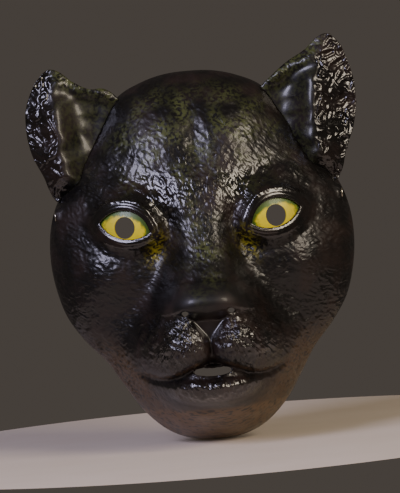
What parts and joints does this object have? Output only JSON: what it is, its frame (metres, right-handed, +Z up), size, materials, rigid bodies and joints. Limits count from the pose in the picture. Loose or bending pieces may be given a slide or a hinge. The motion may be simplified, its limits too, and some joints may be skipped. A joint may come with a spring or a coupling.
{
  "type": "animal face mask",
  "caption": "Hollow big-cat carnival mask with cupped ears, pierced pupils and mouth, and an elastic head strap that swings on two rivets.",
  "frame": {"origin": "in the plane of the rim that lies round the wearer's face, on the middle line, level with the pupils", "axes": "+Z up the face, +Y from the face towards the wearer's head, +X to the right of an onlooker who faces the mask"},
  "size_m": [0.2044, 0.0881, 0.2441],
  "materials": {
    "black_lacquer": "brush-lacquered moulded sheet, high gloss",
    "black_lacquer_ears": "brush-lacquered moulded sheet, high gloss",
    "yellow_enamel": "sprayed yellow enamel, glossy",
    "rivet_brass": "stamped, bright",
    "washer_steel": "stamped, plain",
    "black_elastic": "woven flat elastic"
  },
  "bodies": {
    "mask": {"face_shell": "black_lacquer", "ear_left": "black_lacquer_ears", "ear_right": "black_lacquer_ears", "eye_left": "yellow_enamel", "eye_right": "yellow_enamel", "strap_rivet_left": "rivet_brass", "strap_rivet_right": "rivet_brass", "strap_washer_left": "washer_steel", "strap_washer_right": "washer_steel"},
    "strap": {"head_strap": "black_elastic"}
  },
  "joints": [
    {"name": "strap_swing", "type": "hinge", "parent": "mask", "child": "strap", "pos_m": [0, -0.007, 0.011], "axis": [1, 0, 0], "range_deg": [-5, 120]}
  ]
}
